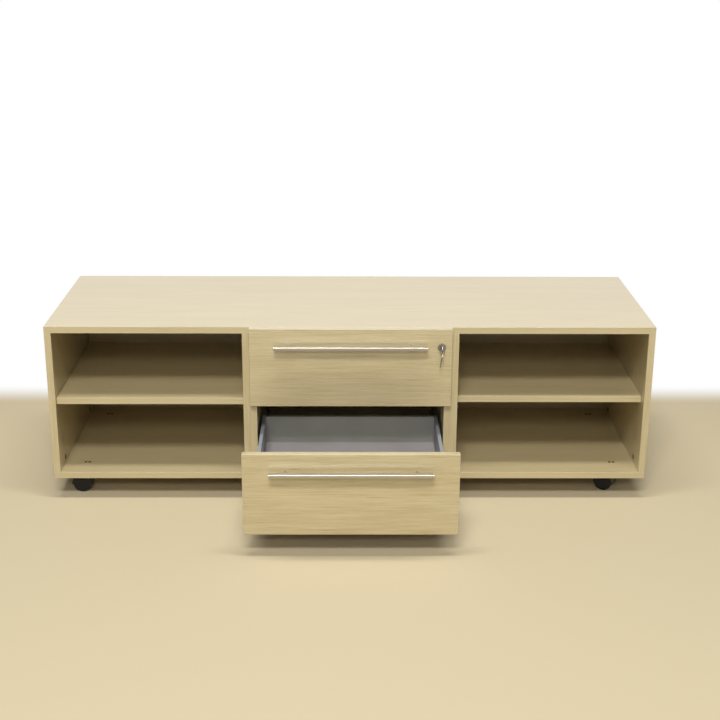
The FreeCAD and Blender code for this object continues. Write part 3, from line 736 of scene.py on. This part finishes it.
@dataclass
class Castors:
    """Twin wheels with a tread, a dished side and a hub cap."""

    names: tuple[str, ...] = ("front_left", "front_right", "back_left", "back_right")
    radius: float = 24.0 * MM
    width: float = 12.0 * MM
    half_gap: float = 7.2 * MM
    tread_inset: float = 3.4 * MM
    dish: float = 1.6 * MM
    hub_inset: float = 9.5 * MM
    hub_rise: float = 1.2 * MM
    hub_edge: float = 2.2 * MM
    hub_lip: float = 0.4 * MM
    hub_sink: float = 0.5 * MM
    edge_round: float = 1.0 * MM

    def model(self) -> bpy.types.Object:
        """Model one wheel standing on the origin along +Z, its outer side up."""
        wheel = round_bar("wheel", self.radius, self.width, 96)
        pick_faces(wheel, Vector((0, 0, 1)), self.width / 2)
        step_face(self.tread_inset, -self.dish)
        step_face(self.hub_inset, 0.0)
        step_face(self.hub_lip, self.hub_rise)
        step_face(self.hub_edge, -self.hub_sink)
        bpy.ops.object.mode_set(mode="OBJECT")
        pick_faces(wheel, Vector((0, 0, -1)), -self.width / 2)
        step_face(self.tread_inset, self.dish)
        bpy.ops.object.mode_set(mode="OBJECT")
        return softened(wheel, self.edge_round, 3)

    def build(self, finishes: Finishes) -> None:
        """Put a pair of wheels on every castor's axle."""
        joints = {joint["name"]: joint for joint in frame["joints"]}
        pattern = self.model()
        for name in self.names:
            joint = joints["castor_" + name + "_roll"]
            axle = Vector(joint["axis"]).normalized()
            centre = Vector(joint["pos_m"])
            pair = []
            for sign in (-1, 1):
                wheel = copied(pattern, "wheel_copy")
                at = centre + axle * sign * self.half_gap
                pair.append(placed(wheel, facing(at, axle * sign)))
            node = "castor_" + name + "_wheels"
            give(joined(pair, "castor_" + name + "_dished_wheels"),
                 "castor_" + name + "_wheel_pair", "black_tread", finishes.tread, node)
        bpy.data.objects.remove(pattern, do_unlink=True)


@dataclass(frozen=True)
class Lamp:
    """One soft rectangular lamp: its place, what it looks at, its size and its power."""

    name: str
    at: tuple[float, float, float]
    to: tuple[float, float, float]
    size: tuple[float, float]
    watts: float

    def hang(self) -> None:
        """Add the lamp to the scene."""
        data = bpy.data.lights.new(self.name, "AREA")
        data.shape = "RECTANGLE"
        data.size, data.size_y = self.size
        data.energy = self.watts
        lamp = bpy.data.objects.new(self.name, data)
        lamp.matrix_world = facing(Vector(self.at), Vector(self.at) - Vector(self.to))
        bpy.context.collection.objects.link(lamp)


@dataclass
class Studio:
    """The camera at the photograph's viewpoint, a pale floor, and plain soft lights."""

    camera_at: tuple[float, float, float] = (-0.0177, -3.2828, 1.5113)
    pitch: float = math.radians(18.727)
    yaw: float = math.radians(-0.753)
    roll: float = math.radians(0.321)
    lens: float = 64.712
    shift_up: float = -0.00952
    floor_radius: float = 9.0
    floor_edge: tuple[float, float] = (1.6, 3.4)
    wall_foot: tuple[float, float] = (0.66, 0.84)
    floor_colour: str = "#c2b494"
    ambient: float = 0.14
    room: float = 0.25
    room_edge: tuple[float, float] = (-0.5, 0.1)
    lamps: tuple[Lamp, ...] = (
        Lamp("front_tube", (-0.4, -4.6, 5.3), (0.0, -0.1, 0.3), (2.2, 0.9), 255.0),
        Lamp("far_front_tube", (-0.4, -7.4, 4.5), (0.0, -0.1, 0.3), (2.2, 1.0), 170.0),
        Lamp("overhead_tube", (0.0, -0.9, 5.0), (0.0, -0.4, 0.3), (3.6, 0.7), 165.0),
    )

    def camera(self) -> None:
        """Make the camera."""
        ahead = Vector((0, math.cos(self.pitch), -math.sin(self.pitch)))
        turn = Matrix.Rotation(self.yaw, 3, "Z")
        ahead = turn @ ahead
        right = turn @ Vector((1, 0, 0))
        up = right.cross(ahead)
        tilted = right * math.cos(self.roll) + up * math.sin(self.roll)
        upright = up * math.cos(self.roll) - right * math.sin(self.roll)
        axes = Matrix((tilted, upright, -ahead)).transposed().to_4x4()
        data = bpy.data.cameras.new("photo_camera")
        data.sensor_width = 36.0
        data.lens = self.lens
        data.shift_y = self.shift_up
        data.clip_end = 60.0
        camera = bpy.data.objects.new("photo_camera", data)
        camera.matrix_world = Matrix.Translation(Vector(self.camera_at)) @ axes
        bpy.context.collection.objects.link(camera)
        bpy.context.scene.camera = camera

    def floor(self) -> None:
        """Make the floor, which turns white at the wall's foot and far from the sideboard."""
        bpy.ops.object.select_all(action="DESELECT")
        bpy.ops.mesh.primitive_circle_add(vertices=96, radius=self.floor_radius,
                                          fill_type="NGON", location=(0, 0, 0))
        disc = bpy.context.object
        disc.name = "studio_floor"
        material, tree, shader = blank("studio_floor_paper")
        shader.inputs["Base Color"].default_value = linear(self.floor_colour)
        shader.inputs["Roughness"].default_value = 0.9
        coordinate = add(tree, "ShaderNodeTexCoord")
        away = add(tree, "ShaderNodeVectorMath", {"operation": "LENGTH"},
                   {0: coordinate.outputs["Object"]})
        fade = add(tree, "ShaderNodeMapRange",
                   {"interpolation_type": "SMOOTHSTEP", "From Min": self.floor_edge[0],
                    "From Max": self.floor_edge[1]}, {"Value": away.outputs["Value"]})
        axes = add(tree, "ShaderNodeSeparateXYZ", links={0: coordinate.outputs["Object"]})
        foot = add(tree, "ShaderNodeMapRange",
                   {"interpolation_type": "SMOOTHSTEP", "From Min": self.wall_foot[0],
                    "From Max": self.wall_foot[1]}, {"Value": axes.outputs["Y"]})
        fade = add(tree, "ShaderNodeMath", {"operation": "MAXIMUM"},
                   {0: fade.outputs["Result"], 1: foot.outputs["Result"]})
        path = add(tree, "ShaderNodeLightPath")
        seen = add(tree, "ShaderNodeMath", {"operation": "MAXIMUM"},
                   {0: path.outputs["Is Camera Ray"], 1: path.outputs["Is Glossy Ray"]})
        amount = add(tree, "ShaderNodeMath", {"operation": "MULTIPLY"},
                     {0: fade.outputs["Value"], 1: seen.outputs["Value"]})
        white = add(tree, "ShaderNodeEmission", {"Color": (1, 1, 1, 1), "Strength": 1.0})
        mix = add(tree, "ShaderNodeMixShader",
                  links={0: amount.outputs["Value"], 1: shader.outputs["BSDF"],
                         2: white.outputs["Emission"]})
        tree.links.new(mix.outputs["Shader"], tree.nodes["Material Output"].inputs["Surface"])
        disc.data.materials.append(material)

    def world(self) -> None:
        """Make the surroundings: white to the camera, a dimmer room in reflections, a fill."""
        world = bpy.data.worlds.new("studio_world")
        bpy.context.scene.world = world
        world.use_nodes = True
        tree = world.node_tree
        path = add(tree, "ShaderNodeLightPath")
        straight = add(tree, "ShaderNodeMath", {"operation": "MAXIMUM"},
                       {0: path.outputs["Is Camera Ray"], 1: path.outputs["Is Transmission Ray"]})
        way = add(tree, "ShaderNodeTexCoord")
        axes = add(tree, "ShaderNodeSeparateXYZ", links={0: way.outputs["Generated"]})
        mirrored = add(tree, "ShaderNodeMapRange",
                       {"interpolation_type": "SMOOTHSTEP", "From Min": self.room_edge[0],
                        "From Max": self.room_edge[1], "To Min": self.room, "To Max": 1.0},
                       {"Value": axes.outputs["Y"]})
        lit = add(tree, "ShaderNodeMapRange", {"To Min": self.ambient},
                  {"Value": path.outputs["Is Glossy Ray"], "To Max": mirrored.outputs["Result"]})
        level = add(tree, "ShaderNodeMapRange", {"To Max": 1.0},
                    {"Value": straight.outputs["Value"], "To Min": lit.outputs["Result"]})
        tree.links.new(level.outputs["Result"], tree.nodes["Background"].inputs["Strength"])
        tree.nodes["Background"].inputs["Color"].default_value = (1, 1, 1, 1)

    def build(self) -> None:
        """Make everything that stands around the sideboard."""
        self.camera()
        self.floor()
        self.world()
        for lamp in self.lamps:
            lamp.hang()
        bpy.context.scene.view_settings.view_transform = "Standard"


def dress_nodes(finishes: Finishes) -> None:
    """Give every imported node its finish."""
    names = list(frame["nodes"])
    fronts = ["upper_front", "lower_front"]
    level = ["top_panel", "shelf_left", "shelf_right"]
    level += [n for n in names if n.startswith(("bottom_", "back_"))]
    upright = [n for n in names if n.startswith("side_")]
    steel = [n for n in names if n.startswith("cabinet_rails")]
    steel += [n for n in names if n.startswith(("upper_side_", "lower_side_"))]
    bright = ["upper_handle", "lower_handle"]
    lock = ["lock_housing", "lock_plug", "lock_key", "key_ring", "spare_key"]
    nylon = [n for n in names if "rollers" in n]
    hoods = [n for n in names if n.endswith("_hood")]
    wheels = [n for n in names if n.endswith("_wheels")]
    brown = ["cam_connectors", "floor_screws"]
    plan = (
        (fronts, finishes.oak_front), (level, finishes.oak_level),
        (upright, finishes.oak_upright), (steel, finishes.grey_coat),
        # Drawer floors take the lighter copy of the grey steel (painted light), drawer backs the
        # darker copy (painted shade).
        (["upper_floor", "lower_floor"], finishes.grey_floor_lit_copy),
        (["upper_back", "lower_back"], finishes.grey_back_shaded_copy), (bright, finishes.handle_steel),
        (lock, finishes.key_steel), (nylon, finishes.nylon), (hoods, finishes.black),
        (wheels, finishes.tread), (brown, finishes.brown),
    )
    done: set[str] = set()
    for nodes, material in plan:
        dress(nodes, material)
        done.update(nodes)
    dress([n for n in names if n not in done], finishes.zinc)
    LOG.info("dressed %d packed nodes", len(names))


def build_screws(finishes: Finishes) -> None:
    """Model every group of visible screws."""
    screws = Screws()
    up = Vector((0, 0, 1))
    back = Vector((0, 1, 0))
    caps = Screws(head_radius=4.0 * MM, recess_reach=2.6 * MM)
    caps.fit("floor_screws", "carcass", "brown_fitting", finishes.brown, 0.7 * MM, up)
    screws.fit("fitting_screws", "carcass", "zinc", finishes.zinc, 1.0 * MM)
    for drawer in ("upper", "lower"):
        for kind in ("_front_screws", "_handle_screws"):
            screws.fit(drawer + kind, drawer + "_drawer", "zinc", finishes.zinc, 1.4 * MM, back)


def main() -> None:
    """Build the sideboard's looks and the studio around it."""
    finishes = Finishes()
    Studio().build()
    dress_nodes(finishes)
    Connectors().build(finishes)
    build_screws(finishes)
    Keys().build(finishes)
    Castors().build(finishes)


if __name__ == "__main__":
    main()
